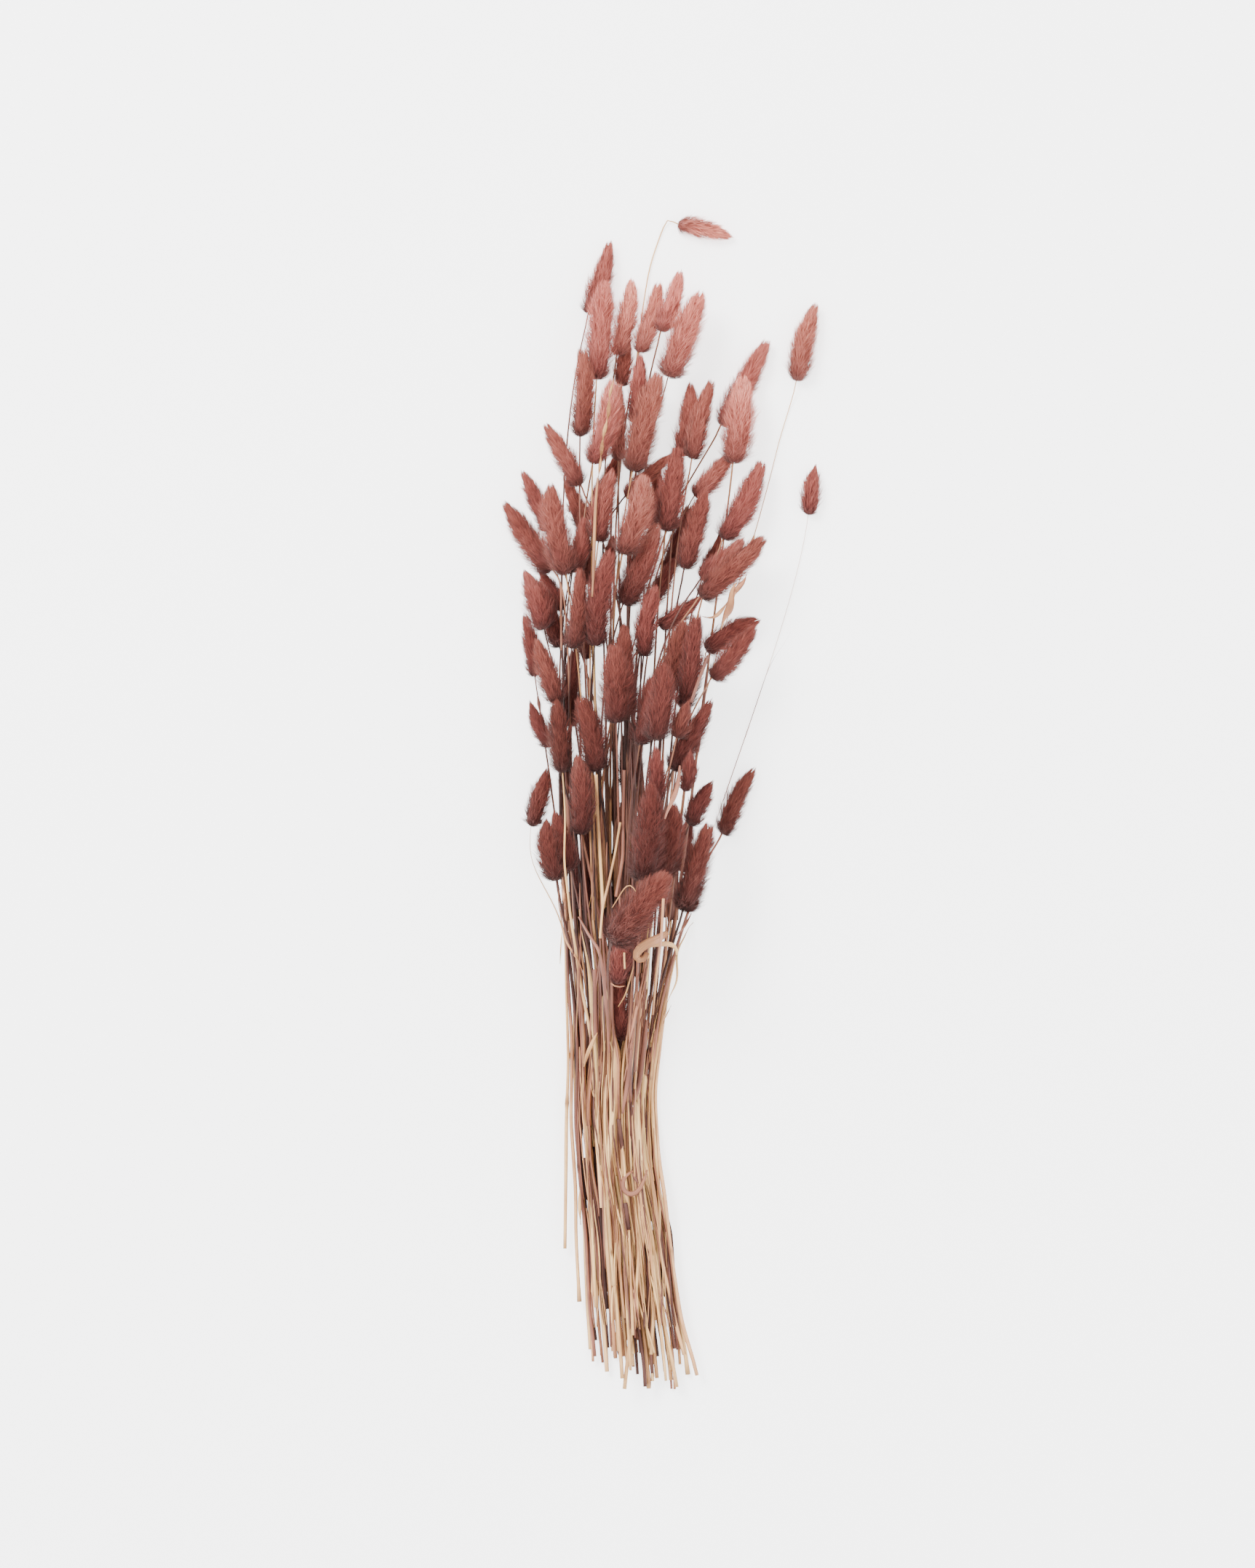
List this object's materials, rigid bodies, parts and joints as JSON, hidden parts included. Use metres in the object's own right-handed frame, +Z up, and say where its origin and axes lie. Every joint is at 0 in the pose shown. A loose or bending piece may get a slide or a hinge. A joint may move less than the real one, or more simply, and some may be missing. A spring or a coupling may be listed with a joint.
{
  "type": "dried bunny tail grass bunch",
  "caption": "Loose bunch of dried bunny tail grass lying on its side: furry oval rose-tinted heads on long thin straw-coloured stems.",
  "frame": {"origin": "on the table under the middle of the bunch's bounding box", "axes": "+Y from the cut ends towards the heads, +Z up from the table, +X to the right in the picture"},
  "size_m": [0.161, 0.5943, 0.0786],
  "materials": {
    "heads": "soft dry fur",
    "stems": "dry matt straw"
  },
  "bodies": {
    "root": {"head_01": "heads", "head_02_03_09": "heads", "head_04": "heads", "head_05": "heads", "head_06": "heads", "head_07": "heads", "head_08_10_11": "heads", "head_12": "heads", "head_13": "heads", "head_14": "heads", "head_15": "heads", "head_16": "heads", "head_17_20": "heads", "head_18_34_40": "heads", "head_19": "heads", "head_21_30": "heads", "head_22_31_44": "heads", "head_23_24": "heads", "head_25_26_27": "heads", "head_28": "heads", "head_29": "heads", "head_32": "heads", "head_33": "heads", "head_35": "heads", "head_36_37": "heads", "head_38": "heads", "head_39_65": "heads", "head_41_42": "heads", "head_43": "heads", "head_45": "heads", "head_46": "heads", "head_47_48": "heads", "head_49": "heads", "head_50_51": "heads", "head_52": "heads", "head_53_54_63": "heads", "head_55": "heads", "head_56_61_62": "heads", "head_57": "heads", "head_58": "heads", "head_59": "heads", "head_60_83": "heads", "head_64_67": "heads", "head_66": "heads", "head_68": "heads", "head_69": "heads", "head_70": "heads", "head_71_76_77": "heads", "head_72_73": "heads", "head_74": "heads", "head_75": "heads", "head_78": "heads", "head_79_81": "heads", "head_80": "heads", "head_82": "heads", "head_84": "heads", "head_85": "heads", "head_86": "heads", "stems": "stems"}
  },
  "joints": []
}
